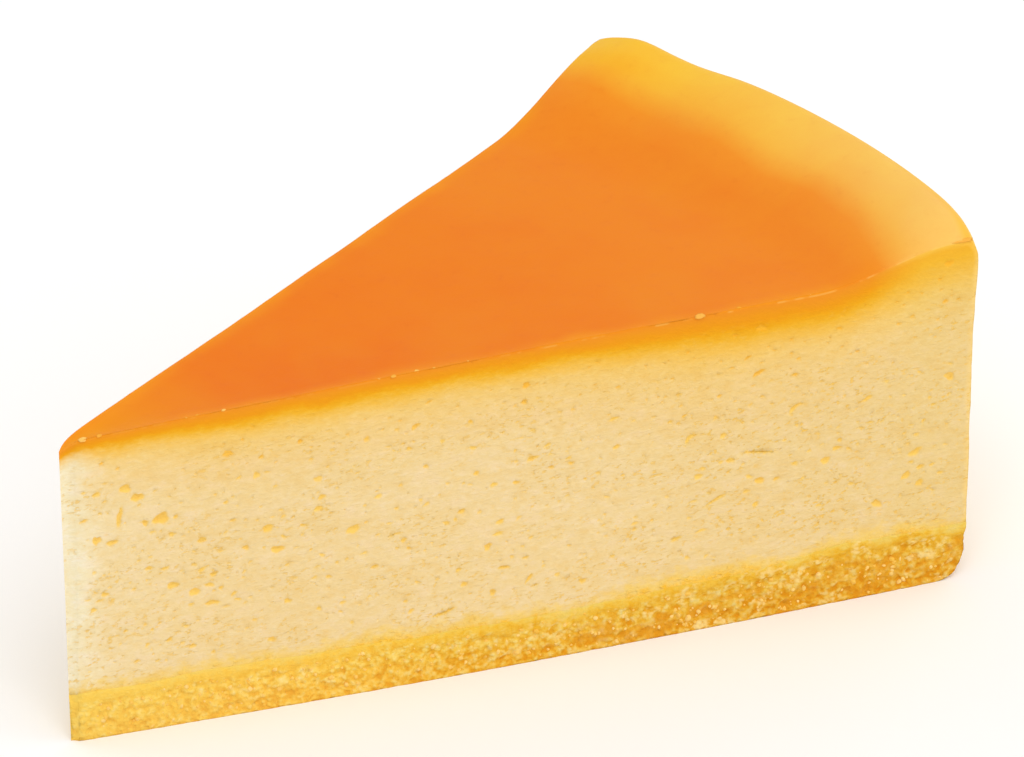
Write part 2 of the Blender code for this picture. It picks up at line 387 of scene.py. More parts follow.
class Shell:
    """A closed layer in the making: its points' places in the wedge, and its faces."""

    def __init__(self, rows, ups, floor, roof):
        along_count, side_count, _ = rows
        alongs = np.linspace(0.0, 1.0, along_count + 1)
        sides = np.sin(math.pi / 2.0 * np.linspace(-1.0, 1.0, side_count + 1))
        shape = (len(alongs), len(sides), len(ups))
        shown = np.zeros(shape, bool)
        shown[[0, -1]] = True
        shown[:, [0, -1]] = True
        shown[:, :, [0, -1]] = True
        self.number = np.full(shape, -1)
        self.number[shown] = np.arange(shown.sum())
        i, j, k = np.nonzero(shown)
        self.side = sides[j]
        self.up = ups[k]
        rim_floor = floor(CAKE_RADIUS, self.side)
        rim_roof = roof(CAKE_RADIUS - RIM_ROUND, self.side)
        wall_height = rim_floor + self.up * (rim_roof - rim_floor)
        inner = inner_radius(wall_height, self.side)
        self.radius = inner + alongs[i] * (outer_radius(wall_height, self.side) - inner)
        low = floor(self.radius, self.side)
        self.height = low + self.up * (roof(self.radius, self.side) - low)
        self.inset = rounded_cut(self.radius, self.height, self.side)
        self.depth = np.zeros(len(i))
        self.on_cut = np.isin(j, (0, shape[1] - 1))
        self.on_tip = i == 0
        self.on_wall = i == shape[0] - 1
        self.on_top = k == shape[2] - 1
        self.faces = []
        self.hidden = []

    def add_points(self, radius, height, side, inset, depth):
        """Adds points and returns the number of the first."""
        first = len(self.radius)
        count = len(radius)
        for name, values in (("radius", radius), ("height", height), ("side", side)):
            setattr(self, name, np.concatenate([getattr(self, name), np.broadcast_to(values, count)]))
        self.inset = np.concatenate([self.inset, inset])
        self.depth = np.concatenate([self.depth, depth])
        return first

    def add_sheet(self, sheet, outward):
        """Quads over a flat array of point numbers."""
        ring = np.stack([sheet[:-1, :-1], sheet[1:, :-1], sheet[1:, 1:], sheet[:-1, 1:]], -1).reshape(-1, 4)
        self.faces += (ring if outward else ring[:, ::-1]).tolist()

    def fill(self, sheet, across, up, inner_across, inner_up, outward, hidden=False, **fields):
        """Triangles over a sheet's outline and inner points, in the sheet's own flat coordinates."""
        ring = np.concatenate([sheet[:-1, 0], sheet[-1, :-1], sheet[:0:-1, -1], sheet[0, :0:-1]])
        first = self.add_points(**fields)
        outline = np.stack([across[ring], up[ring]], -1)
        spots = np.concatenate([outline, np.stack([inner_across, inner_up], -1)])
        count = len(ring)
        edges = [(i, (i + 1) % count) for i in range(count)]
        points = [Vector(spot) for spot in spots.tolist()]
        _, _, made, sources, _, _ = geometry.delaunay_2d_cdt(points, edges, [], 1, 1e-6)
        numbers = np.concatenate([ring, np.arange(first, first + len(inner_across))])
        source = np.array([group[0] for group in sources])
        triangles = numbers[source[np.array(made)]]
        triangles = triangles if outward else triangles[:, ::-1]
        if hidden:
            self.hidden += triangles.tolist()
        else:
            self.faces += triangles.tolist()

    def mesh(self, name):
        """The finished mesh, with what its materials need to know at each point, in millimetres."""
        data = bpy.data.meshes.new(name)
        points = place(self.radius, self.height, self.side, self.inset)
        data.from_pydata(points.tolist(), [], self.faces + self.hidden)
        data.polygons.foreach_set("use_smooth", [True] * len(self.faces) + [False] * len(self.hidden))
        wall = outer_radius(np.clip(self.height, 0.0, RIM_CREST_HEIGHT), self.side) - self.radius
        facts = {
            "skin_depth": top_height(self.radius, self.side) - self.height,
            "wall_depth": wall,
            "over_base": self.height - base_height(self.radius, self.side),
            "cut_distance": (1.0 - np.abs(self.side)) * self.radius * HALF_ANGLE,
            "pore_depth": self.depth,
            "tip_distance": self.radius,
        }
        for fact, values in facts.items():
            store = data.attributes.new(fact, "FLOAT", "POINT")
            store.data.foreach_set("value", (values / MM).astype(np.float32))
        return data


def add_object(name, data):
    """A new object in the scene."""
    thing = bpy.data.objects.new(name, data)
    bpy.context.scene.collection.objects.link(thing)
    return thing


def add_piece(name, data, material):
    """An object that rides with the slice."""
    piece = add_object(name, data)
    data.materials.append(material)
    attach(piece, "root")
    return piece


def pore_weight(radius, height, side):
    """How dense the small pores are at a place on a cut, in millimetres."""
    skin = top_height(radius * MM, side) / MM - height
    if skin < PORELESS_SKIN:
        return 0.0
    amount, hills = PORE_FIELDS[side]
    for size, along, width, up, tall in hills:
        amount += size * bump(along, width, radius) * bump(up, tall, height)
    return float(amount * smoothstep(1.5, 7.0, skin) * smoothstep(6.5, 10.0, height))


def random_pores(rng, taken, side):
    """The pores in taken, and small ones that keep clear of them and of each other."""
    pores = list(taken)
    along_gap, up_gap = PORE_GAP_SHARES
    for _ in range(PORE_TRIES):
        if len(pores) >= PORE_COUNT + len(taken):
            break
        radius = rng.uniform(*PORE_RADII)
        height = rng.uniform(*PORE_HEIGHTS)
        if rng.random() > pore_weight(radius, height, side):
            continue
        length = float(np.clip(rng.lognormal(*PORE_LOG_LENGTH), *PORE_LENGTHS))
        thickness = length * rng.uniform(*PORE_THICKNESS_SHARES)
        tilt = rng.normal(*PORE_TILT)
        crowded = any(
            abs(other[0] - radius) < along_gap * (other[2] + length)
            and abs(other[1] - height) < up_gap * (max(other[3], 0.25 * other[2]) + thickness)
            for other in pores
        )
        if not crowded:
            pores.append((radius, height, length, thickness, tilt))
    return pores


class Pore:
    """One cut-open bubble: where it is, its shape, and its depth at any point near it."""

    def __init__(self, rng, radius, height, length, thickness, tilt, bend=0.0):
        self.centre = np.array([radius, height])
        self.size = np.array([length, thickness]) / 2.0
        self.turn = math.radians(tilt)
        self.bend = bend
        depth = PORE_DEPTH_SHARES[1] * thickness + PORE_DEPTH_SHARES[0] * length
        self.deep = float(np.clip(depth, *PORE_DEPTHS)) * rng.uniform(*PORE_DEPTH_SPREAD)
        self.lobes = [
            (n, rng.uniform(0.3 * size, size), rng.uniform(0.0, 2.0 * math.pi))
            for n, size in PORE_LOBES
        ]

    def outline(self, angle):
        """How far the pore's uneven edge lies from an ellipse's, by angle."""
        return 1.0 + sum(size * np.cos(n * angle + phase) for n, size, phase in self.lobes)

    def reach(self, radius, height):
        """Distance from the centre in units of the edge's distance."""
        x = radius - self.centre[0]
        y = height - self.centre[1]
        u = (x * math.cos(self.turn) + y * math.sin(self.turn)) / self.size[0]
        v = (-x * math.sin(self.turn) + y * math.cos(self.turn)) - self.bend * (1.0 - u * u)
        v = v / self.size[1]
        return np.hypot(u, v) / self.outline(np.arctan2(v, u))

    def points(self):
        """Rings of points from the lip to the floor: radius, height and depth."""
        count = int(np.clip(round(4.0 * (self.size[0] + self.size[1]) / 0.3), 7, 22))
        rings = []
        for n, reach in enumerate(LARGE_PORE_RINGS if self.size[0] > LARGE_PORE_REACH else PORE_RINGS):
            ring_count = max(count // 2, 5) if reach < 0.5 else count
            angle = 2.0 * math.pi * (np.arange(ring_count) + 0.5 * (n % 2)) / ring_count
            scale = reach * self.outline(angle)
            u = scale * np.cos(angle)
            v = scale * np.sin(angle) * self.size[1] + self.bend * (1.0 - u * u)
            u = u * self.size[0]
            x = self.centre[0] + u * math.cos(self.turn) - v * math.sin(self.turn)
            y = self.centre[1] + u * math.sin(self.turn) + v * math.cos(self.turn)
            drop = self.deep * (1.0 - smoothstep(0.42, 1.15, reach))
            rings.append(np.stack([x, y, np.full(ring_count, drop)], -1))
        return np.concatenate(rings)


def ripple(x, height, side):
    """Fine and broad waves along a cut, in millimetres."""
    return relief(x, height, ((*CUT_RIPPLE, 3.0 * side), (*CUT_BROAD_RIPPLE, 5.0 + side)))


def spread_points(rng, width, height, spacing):
    """Jittered points over a rectangle from the origin."""
    x, y = np.meshgrid(np.arange(spacing, width, spacing), np.arange(spacing, height, spacing))
    jitter = rng.uniform(-0.33, 0.33, (2, *x.shape)) * spacing
    return (x + jitter[0]).ravel(), (y + jitter[1]).ravel()


def edge_rows(shell, sheet):
    """Points just inside the top, bottom and two ends of a cut face, in millimetres."""
    r = shell.radius / MM
    z = shell.height / MM
    edges = (
        (sheet[1:-1, -1], 0.0, -EDGE_ROW),
        (sheet[1:-1, 0], 0.0, EDGE_ROW),
        (sheet[0, 1:-1], EDGE_ROW, 0.0),
        (sheet[-1, 1:-1], -EDGE_ROW, 0.0),
    )
    return np.concatenate([np.stack([r[edge] + along, z[edge] + up], -1) for edge, along, up in edges])


def within(shell_roof, shell_floor, x, y, side, margin):
    """True where a point in millimetres lies inside a cut face by a margin."""
    radius = x * MM
    height = y * MM
    inside = height < shell_roof(radius, side) - margin * MM
    inside &= height > shell_floor(radius, side) + margin * MM
    inside &= radius < outer_radius(np.clip(height, 0.0, 0.04), side) - margin * MM
    return inside & (radius > TIP_RADIUS + (TIP_SKEW_TOP + margin * MM))


def cut_sheet(shell, side):
    """The point numbers of a cut face's grid, of which only the outline is used."""
    return shell.number[:, 0 if side < 0 else -1, :]


def fill_side(shell, side, r, z, inset, depth):
    """A cut face over inner points, in millimetres, that stand in by inset."""
    inset = np.minimum(inset, CUT_LIMIT_SHARE * r * MM * HALF_ANGLE)
    shell.fill(
        cut_sheet(shell, side), shell.radius / MM, shell.height / MM, r, z, side < 0,
        radius=r * MM, height=z * MM, side=side, inset=inset, depth=depth,
    )


def fill_cut(shell, rng, side, floor, pores):
    """One cut face of the custard, with its pores and ripples."""
    rows = edge_rows(shell, cut_sheet(shell, side))
    x, y = spread_points(rng, LENGTH_SPAN, HEIGHT_SPAN, CUT_SPACING)
    keep = within(top_height, floor, x, y, side, CUT_MARGIN)
    for pore in pores:
        reach = 1.2 * max(pore.size[0], pore.size[1]) + abs(pore.bend) + 0.4
        close = keep & (np.abs(x - pore.centre[0]) < reach) & (np.abs(y - pore.centre[1]) < reach)
        spots = np.nonzero(close)[0]
        keep[spots[pore.reach(x[spots], y[spots]) < 1.12 + 0.14 / pore.size[1]]] = False
    wells = np.concatenate([pore.points() for pore in pores])
    r = np.concatenate([rows[:, 0], x[keep], wells[:, 0]])
    z = np.concatenate([rows[:, 1], y[keep], wells[:, 1]])
    depth = np.concatenate([np.zeros(len(rows) + keep.sum()), wells[:, 2]]) * MM
    radius = r * MM
    height = z * MM
    skin = (top_height(radius, side) - height) / MM
    level = (height - base_height(radius, side)) / MM
    calm = smoothstep(0.0, 2.5, skin) * smoothstep(-0.2, 1.5, level)
    inset = rounded_cut(radius, height, side) + depth + ripple(r, z, side) * calm * MM
    fill_side(shell, side, r, z, inset, depth)


def fill_level(shell, rng, level, spacing, height_at):
    """The hidden top or bottom of a layer, over widely spaced points."""
    sheet = shell.number[:, :, level]
    x, y = spread_points(rng, LENGTH_SPAN, WIDTH_SPAN, spacing)
    y = y - WIDTH_SPAN / 2.0
    radius = np.hypot(x, y) * MM
    side = np.arctan2(y, x) / HALF_ANGLE
    keep = (radius < outer_radius(0.002, 0.0) - 0.0035) & (radius > 0.004)
    keep &= (1.0 - np.abs(side)) * radius > 0.002
    radius = radius[keep]
    side = side[keep]
    height = height_at(radius, side)
    flat = place(shell.radius, shell.height, shell.side, 0.0) / MM
    shell.fill(
        sheet, flat[:, 0] - WEDGE_SHIFT / MM, flat[:, 1], x[keep], y[keep], level != 0, True,
        radius=radius, height=height, side=side,
        inset=cut_form(radius, height, side), depth=np.zeros(len(radius)),
    )


def make_custard(material):
    """The custard, browned on top, with its pores cut open on both sides."""

    def floor(radius, side):
        return base_height(radius, side) - LAYER_OVERLAP

    ups = corner_steps(CUSTARD_ROWS[2], RIM_ROUND, RIM_CREST_HEIGHT - BASE_HEIGHT, True)
    shell = Shell(CUSTARD_ROWS, ups, floor, top_height)
    r = shell.radius / MM
    z = shell.height / MM
    y = r * np.sin(shell.side * HALF_ANGLE)
    browned = shell.on_top & ~shell.on_cut
    shell.radius -= shell.on_tip * TIP_BELLY * (1.0 - shell.side**2) * MM
    swells = relief(r, y, TOP_SWELLS) + smoothstep(88.0, 98.0, r) * relief(r, y, RIM_SWELLS)
    shell.height += browned * swells * smoothstep(0.0, 9.0, r) * MM
    wall = shell.on_wall & ~shell.on_cut
    dents = relief(y, z, WALL_DENTS) * smoothstep(44.0, 38.0, z) * smoothstep(7.0, 11.0, z)
    shell.radius += wall * dents * MM
    torn = (shell.on_cut & shell.on_top) * smoothstep(2.8, 4.0, r) * smoothstep(102.8, 101.0, r)
    shell.height += torn * TORN_DEPTH * (rough(r / 1.3, shell.side, 6.0) - 1.0) * MM
    shell.inset += torn * (TORN_DEPTH * rough(r / 1.1, shell.side, 8.0) + TORN_INSET) * MM
    corner = shell.on_cut & shell.on_wall
    shell.radius -= corner * CORNER_RADIUS_LOSS * MM
    shell.inset += corner * CORNER_INSET * MM
    shell.add_sheet(shell.number[:, :, -1], True)
    shell.add_sheet(shell.number[0], False)
    shell.add_sheet(shell.number[-1], True)
    rng = np.random.default_rng(SEED)
    near = random_pores(rng, NEAR_PORES, NEAR)
    far = random_pores(rng, [], FAR)
    fill_cut(shell, rng, NEAR, floor, [Pore(rng, *values) for values in near])
    fill_cut(shell, rng, FAR, floor, [Pore(rng, *values) for values in far])
    fill_level(shell, rng, 0, CUSTARD_FLOOR_SPACING, floor)
    piece = add_piece("custard_slice", shell.mesh("custard_slice"), material)
    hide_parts("custard")


def crumb_depth(radius, height, side):
    """How far the open crumb lies back from the base's face, in millimetres."""
    x = radius * np.cos(side * HALF_ANGLE) / MM
    y = radius * np.sin(side * HALF_ANGLE) / MM
    z = height / MM
    broad = rough(x / CRUMB_BROAD_SIZE, y / CRUMB_BROAD_SIZE, z / CRUMB_BROAD_SIZE)
    depth = CRUMB_BROAD_DEPTH * (0.5 + 0.5 * broad)
    for size, amount in CRUMB_GRAINS:
        depth += amount * np.clip(grains(x / size, y / size, z / size, 7.3 * size), 0.0, 0.9) ** 1.5
    pit = rough(x / CRUMB_PIT_SIZE, y / CRUMB_PIT_SIZE, z / CRUMB_PIT_HEIGHT, 21.0)
    depth += CRUMB_PIT_DEPTH * smoothstep(0.1, 0.45, pit)
    level = (base_height(radius, side) - height) / MM
    calm = smoothstep(*CRUMB_CALM, level) * (0.35 + 0.65 * smoothstep(0.0, 0.9, z))
    return depth * calm - BASE_PROUD / MM * smoothstep(1.6, 1.0, level)


def flat_floor(radius, side):
    """The level underside."""
    return 0.0 * radius * side


def fill_base_side(shell, rng, side):
    """One cut face of the crumb base."""
    x, y = spread_points(rng, LENGTH_SPAN, BASE_SPAN, CRUMB_SPACING)
    keep = within(base_height, flat_floor, x, y, side, 0.14)
    radius = x[keep] * MM
    height = y[keep] * MM
    depth = crumb_depth(radius, height, side) * MM
    fill_side(shell, side, x[keep], y[keep], rounded_cut(radius, height, side) + depth, depth)


def fill_base_wall(shell, rng):
    """The outer wall of the crumb base."""
    sheet = shell.number[-1]
    width = 2.0 * CAKE_RADIUS * HALF_ANGLE / MM
    x, y = spread_points(rng, width, BASE_SPAN, CRUMB_SPACING * 1.15)
    side = 2.0 * x / width - 1.0
    height = y * MM
    keep = (height < base_height(CAKE_RADIUS, side) - 0.15 * MM) & (height > 0.12 * MM)
    side = side[keep]
    height = height[keep]
    depth = crumb_depth(CAKE_RADIUS, height, side) * WALL_CRUMB_SHARE * MM
    radius = outer_radius(height, side) - depth
    shell.fill(
        sheet, (shell.side + 1.0) * width / 2.0, shell.height / MM, x[keep], y[keep], True,
        radius=radius, height=height, side=side, inset=cut_form(radius, height, side), depth=depth,
    )


def make_base(material):
    """The crumb base, open and uneven where it shows."""
    ups = corner_steps(BASE_ROWS[2], FOOT_ROUND, BASE_HEIGHT, False)
    shell = Shell(BASE_ROWS, ups, flat_floor, base_height)
    depth = crumb_depth(shell.radius, shell.height, shell.side) * MM
    shell.radius -= shell.on_tip * BASE_PROUD
    back = np.minimum(0.7 * depth, 0.4 * shell.radius * HALF_ANGLE)
    shell.inset += shell.on_cut * back
    shell.radius -= shell.on_wall * np.minimum(0.6 * depth, 0.3 * MM)
    shell.depth = depth
    shell.add_sheet(shell.number[0], False)
    rng = np.random.default_rng(SEED + 1)
    fill_base_side(shell, rng, NEAR)
    fill_base_side(shell, rng, FAR)
    fill_base_wall(shell, rng)
    fill_level(shell, rng, 0, UNDERSIDE_SPACING, flat_floor)
    fill_level(shell, rng, -1, BASE_TOP_SPACING, base_height)
    piece = add_piece("crumb_layer", shell.mesh("crumb_layer"), material)
    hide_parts("crumb_base")


def facing(angle, out=1.0, up=0.0):
    """A vector that points outward at an angle from the slice's centre line, and upward."""
    return np.array([out * math.cos(angle), out * math.sin(angle), up])


def ball(subdivisions):
    """Points and triangles of a ball of radius 1."""
    mesh = bmesh.new()
    bmesh.ops.create_icosphere(mesh, subdivisions=subdivisions, radius=1.0)
    points = np.array([vertex.co for vertex in mesh.verts])
    faces = np.array([[vertex.index for vertex in face.verts] for face in mesh.faces])
    mesh.free()
    return points, faces


def lumps(name, rng, spots, flat):
    """Uneven lumps as one mesh: each has a centre, size, normal to be squashed along and maybe a pull."""
    points, faces = ball(2)
    all_points = []
    all_faces = []
    for n, (centre, size, normal, *pulls) in enumerate(spots):
        bumps = 1.0 + 0.45 * rough(points[:, 0] * 1.4, points[:, 1] * 1.4, points[:, 2] * 1.4, 3.7 * n)
        stretch = rng.uniform(0.7, 1.25, 3)
        turn = np.array(Matrix.Rotation(rng.uniform(0.0, 6.28), 3, Vector(rng.normal(size=3)).normalized()))
        shape = (points * bumps[:, None] * stretch) @ turn.T
        shape -= np.outer(shape @ normal, normal) * (1.0 - flat)
        for pull in pulls:
            shape += np.outer(shape @ pull, pull) / np.linalg.norm(pull)
        all_points.append(centre + shape * size)
        all_faces.append(faces + n * len(points))
    data = bpy.data.meshes.new(name)
    data.from_pydata(np.concatenate(all_points).tolist(), [], np.concatenate(all_faces).tolist())
    data.shade_smooth()
    tone = data.attributes.new("tone", "FLOAT", "POINT")
    tone.data.foreach_set("value", np.repeat(rng.random(len(spots)), len(points)).astype(np.float32))
    return data


def make_crumbs(material):
    """Crumbs that cling to the base where it shows."""
    rng = np.random.default_rng(SEED + 2)
    spots = []
    for _ in range(CRUMB_COUNT):
        where = rng.random()
        size = float(np.clip(rng.lognormal(*CRUMB_LOG_SIZE), *CRUMB_SIZES)) * MM
        height = rng.uniform(0.3 * MM, BASE_HEIGHT - 1.0 * MM)
        if where < CRUMBS_ON_CUTS:
            side = NEAR if where < CRUMBS_ON_CUTS / 2.0 else FAR
            radius = rng.uniform(0.004, 0.1035)
            radius = min(radius, float(outer_radius(height, side)) - 0.001)
            back = float(crumb_depth(radius, height, side)) * MM + 0.3 * size
            centre = place(radius, height, side, float(cut_form(radius, height, side)) + back)
            normal = facing(side * CUT_FACING)
        else:
            side = rng.uniform(-0.97, 0.97)
            back = float(crumb_depth(CAKE_RADIUS, height, side)) * WALL_CRUMB_SHARE * MM + 0.3 * size
            radius = float(outer_radius(height, side)) - back
            centre = place(radius, height, side, 0.0)
            normal = facing(side * HALF_ANGLE)
        centre[2] = max(centre[2], 1.3 * size)
        spots.append((centre, size, normal))
    data = lumps("base_crumbs", rng, spots, 0.85)
    add_piece("base_crumbs", data, material)


def make_flakes(material):
    """Pale torn flakes of skin along the top edges of the cuts."""
    rng = np.random.default_rng(SEED + 3)
    wanted = [(radius * MM, NEAR, size) for radius, size in [SLIVER, *NEAR_FLAKES]]
    for _ in range(RANDOM_FLAKES):
        side = NEAR if rng.random() < 0.5 else FAR
        wanted.append((rng.uniform(0.004, 0.103), side, rng.uniform(0.08, 0.16)))
    spots = []
    for n, (radius, side, size) in enumerate(wanted):
        height = float(top_height(radius, side)) - 0.02 * MM
        inset = float(cut_form(radius, height, side)) + rng.uniform(0.0, 0.16) * MM
        normal = facing(side * CUT_FACING, 0.6, 0.8)
        normal /= np.linalg.norm(normal)
        stretch = SLIVER_STRETCH if n == 0 else 1.0
        pull = stretch * facing(side * HALF_ANGLE, 1.0, TOP_SLOPE)
        spots.append((place(radius, height, side, inset), 0.8 * size * MM, normal, pull))
    data = lumps("skin_flakes", rng, spots, 0.25)
    add_piece("skin_flakes", data, material)


def colour(red, green, blue):
    """A colour given in the usual 0 to 255 screen values."""
    channels = [c / 255.0 for c in (red, green, blue)]
    return (*[c / 12.92 if c <= 0.04045 else ((c + 0.055) / 1.055) ** 2.4 for c in channels], 1.0)


SOAKED_CREAM = colour(241, 202, 100)


class Graph:
    """Short calls for building one material."""

    def __init__(self, name):
        self.material = bpy.data.materials.new(name)
        self.material.use_nodes = True
        self.tree = self.material.node_tree
        self.shader = self.tree.nodes["Principled BSDF"]
        self.place = self.add("ShaderNodeTexCoord").outputs["Object"]

    def add(self, kind, settings=None, **values):
        """A new node, with its settings and what goes into its sockets."""
        node = self.tree.nodes.new(kind)
        for key, value in (settings or {}).items():
            setattr(node, key, value)
        for key, value in values.items():
            self.feed(node.inputs[key], value)
        return node

    def feed(self, socket, value):
        """Give a socket a value, or link it to another socket."""
        if isinstance(value, bpy.types.NodeSocket):
            self.tree.links.new(value, socket)
        else:
            socket.default_value = value

    def fact(self, name):
        """A value stored at the mesh's points."""
        return self.add("ShaderNodeAttribute", {"attribute_name": name}).outputs["Fac"]

    def math(self, operation, first, second=0.0, third=0.0):
        """The result of a sum on one to three values."""
        node = self.add("ShaderNodeMath", {"operation": operation})
        for socket, value in zip(node.inputs, (first, second, third)):
            self.feed(socket, value)
        return node.outputs[0]

    def times(self, first, *others):
        """The product of several values."""
        for other in others:
            first = self.math("MULTIPLY", first, other)
        return first

    def scaled(self, x, y, z, place=None):
        """The place in units of x, y and z millimetres."""
        node = self.add("ShaderNodeVectorMath", {"operation": "MULTIPLY"})
        self.feed(node.inputs[0], self.place if place is None else place)
        self.feed(node.inputs[1], (1.0 / (x * MM), 1.0 / (y * MM), 1.0 / (z * MM)))
        return node.outputs[0]

    def noise(self, x, y, z, detail=2.0, roughness=0.5, place=None):
        """Smooth noise with sizes in millimetres, mostly from 0.3 to 0.7."""
        spot = self.scaled(x, y, z, place)
        node = self.add("ShaderNodeTexNoise", Vector=spot, Scale=1.0, Detail=detail, Roughness=roughness)
        return node.outputs["Fac"]

    def cells(self, x, y, z):
        """Distance to the nearest of scattered centres, sizes in millimetres."""
        return self.add("ShaderNodeTexVoronoi", Vector=self.scaled(x, y, z), Scale=1.0).outputs["Distance"]

    def slanted(self, length, height, detail):
        """Noise in streaks that climb a little toward the rim, with sizes in millimetres."""
        parts = self.add("ShaderNodeSeparateXYZ", Vector=self.place)
        climb = self.math("MULTIPLY_ADD", parts.outputs["X"], -0.13, parts.outputs["Z"])
        spot = self.add("ShaderNodeCombineXYZ", X=parts.outputs["X"], Y=parts.outputs["Y"], Z=climb)
        return self.noise(length, length, height, detail, 0.6, spot.outputs["Vector"])

    def span(self, value, low, high, out_low=0.0, out_high=1.0):
        """Value from low to high, turned to out_low to out_high and held there."""
        node = self.add("ShaderNodeMapRange")
        for key, number in zip(("From Min", "From Max", "To Min", "To Max"), (low, high, out_low, out_high)):
            node.inputs[key].default_value = number
        self.feed(node.inputs["Value"], value)
        return node.outputs[0]

    def vary(self, noise_value, low, high):
        """The usual range of noise, turned to low to high."""
        return self.span(noise_value, 0.3, 0.7, low, high)

    def ramp(self, value, low, high, stops):
        """A colour for value: each stop is a value and the colour's red, green and blue."""
        node = self.add("ShaderNodeValToRGB", Fac=self.span(value, low, high))
        elements = node.color_ramp.elements
        for n, (at, *shade) in enumerate([stops[0], stops[-1], *stops[1:-1]]):
            position = (at - low) / (high - low)
            element = elements[n] if n < 2 else elements.new(position)
            element.position = position
            element.color = colour(*shade)
        return node.outputs["Color"]

    def mix(self, factor, first, second, blend="MIX"):
        """Two colours blended by factor."""
        node = self.add("ShaderNodeMix", {"data_type": "RGBA", "blend_type": blend})
        self.feed(node.inputs[0], factor)
        self.feed(node.inputs[6], first)
        self.feed(node.inputs[7], second)
        return node.outputs[2]

    def tinted(self, factor, base, red, green, blue):
        """Base, multiplied by a tint as far as factor says."""
        return self.mix(factor, base, (red, green, blue, 1.0), "MULTIPLY")

    def bump(self, height, distance):
        """Normals for a relief of height times distance, in millimetres."""
        node = self.add("ShaderNodeBump", Height=height, Distance=distance * MM, Strength=1.0)
        return node.outputs["Normal"]

    def finish(self, base, roughness, normal, specular):
        """The finished material."""
        self.feed(self.shader.inputs["Base Color"], base)
        self.feed(self.shader.inputs["Roughness"], roughness)
        self.feed(self.shader.inputs["Normal"], normal)
        self.shader.inputs["Specular IOR Level"].default_value = specular
        return self.material


def browned_top(g, soft, mottle):
    """The browned skin from the tip to the rim, more yellow toward its far end, with a painted sheen on the
    rim near the near cut.
    """
    reach = g.math("ADD", g.fact("tip_distance"), g.vary(g.noise(16.0, 16.0, 16.0, 1.5), -0.8, 0.8))
    top = g.ramp(reach, 0.0, LENGTH_SPAN, [
        (0.0, 244, 202, 100), (3.4, 239, 160, 32), (7.0, 237, 146, 20),
        (13.0, 236, 135, 24), (22.0, 234, 118, 24), (40.0, 235, 122, 23),
        (60.0, 235, 126, 26), (80.0, 236, 132, 32), (90.5, 237, 134, 31),
        (94.0, 240, 144, 36), (97.5, 244, 180, 59), (100.5, 245, 191, 69),
        (103.5, 245, 195, 73), (LENGTH_SPAN, 245, 180, 50),
    ])
    # Painted sheen: toward the rim the blue is raised near the near cut, so the rim there is paler, and
    # lowered toward the far cut, so it is a deeper yellow.
    across = g.add("ShaderNodeSeparateXYZ", Vector=g.place).outputs["Y"]
    blue = g.span(across, -0.028, 0.028, 1.85, 0.42)
    yellow = g.add("ShaderNodeCombineColor", Red=1.0, Green=1.0, Blue=blue).outputs["Color"]
    top = g.mix(g.span(reach, 93.0, 98.0), top, yellow, "MULTIPLY")
    from_cut = g.math("ADD", g.fact("cut_distance"), g.vary(soft, -0.5, 0.7))
    verge = g.math("POWER", g.span(from_cut, 0.0, 2.4, 1.0, 0.0), 1.6)
    top = g.mix(g.times(verge, g.span(reach, 88.0, 95.0, 0.9, 0.0)), top, colour(240, 147, 27))
    patch = g.noise(13.0, 13.0, 13.0, 3.0, 0.55)
    top = g.tinted(g.span(patch, 0.45, 0.7, 0.0, 0.5), top, 0.98, 0.84, 0.92)
    top = g.tinted(g.span(mottle, 0.42, 0.75, 0.0, 0.35), top, 1.01, 1.1, 1.1)
    return g.tinted(g.span(mottle, 0.4, 0.28, 0.0, 0.3), top, 0.94, 0.84, 0.8)


def cut_cream(g, soft, skin):
    """Down the cut: skin, a saturated gold line, then yellow fading to cream, with painted light near the
    tip and painted shade toward the rim.
    """
    tip = g.fact("tip_distance")
    cut = g.ramp(skin, 0.0, 13.0, [
        (0.0, 234, 141, 36), (0.6, 234, 148, 28), (1.1, 234, 152, 20),
        (1.7, 235, 165, 24), (2.2, 237, 177, 46), (3.0, 239, 189, 83),
        (4.0, 238, 197, 110), (5.5, 237, 201, 127), (8.0, 236, 203, 138),
        (11.0, 236, 207, 147), (13.0, 236, 208, 151),
    ])
    rim_cut = g.ramp(skin, 0.0, 13.0, [
        (0.0, 244, 192, 74), (0.6, 238, 176, 46), (1.3, 238, 180, 48),
        (2.4, 237, 186, 72), (3.6, 236, 195, 100), (6.0, 234, 200, 125),
        (13.0, 234, 205, 140),
    ])
    body = g.mix(g.span(tip, 93.0, 99.0), cut, rim_cut)
    body = g.tinted(g.span(soft, 0.4, 0.7, 0.0, 0.5), body, 0.985, 0.96, 0.88)
    # Painted light: the tip's blunt face, which faces the key light, and the cut near the tip are painted
    # paler.
    tip_edge = g.math("ADD", tip, g.vary(soft, -1.0, 1.0))
    painted_light = g.math("ADD", g.span(tip_edge, 2.0, 5.4, 0.75, 0.0), g.span(tip, 4.0, 16.0, 0.22, 0.0))
    body = g.mix(g.times(painted_light, g.span(skin, 1.5, 5.0)), body, colour(241, 227, 188))
    # Painted shade: the cut is painted darker toward the rim.
    painted_shade_toward_rim = g.times(g.span(tip, 60.0, 90.0, 0.0, 0.6), g.span(skin, 3.0, 9.0))
    return g.mix(painted_shade_toward_rim, body, colour(231, 200, 135))


def with_rind(g, surface, soft, depth):
    """The surface with the pale gold rind of the outer wall over it."""
    rind = g.math("ADD", g.fact("wall_depth"), g.vary(soft, -0.2, 0.2))
    outside = g.times(g.span(rind, 0.1, 0.8, 0.9, 0.0), g.span(depth, 0.0, 1.0))
    side = g.ramp(g.math("ADD", depth, g.vary(soft, -1.0, 1.0)), 0.0, 10.0, [
        (0.0, 248, 190, 66), (2.0, 245, 196, 86), (4.5, 245, 205, 116),
        (10.0, 245, 208, 128),
    ])
    return g.mix(outside, surface, side)


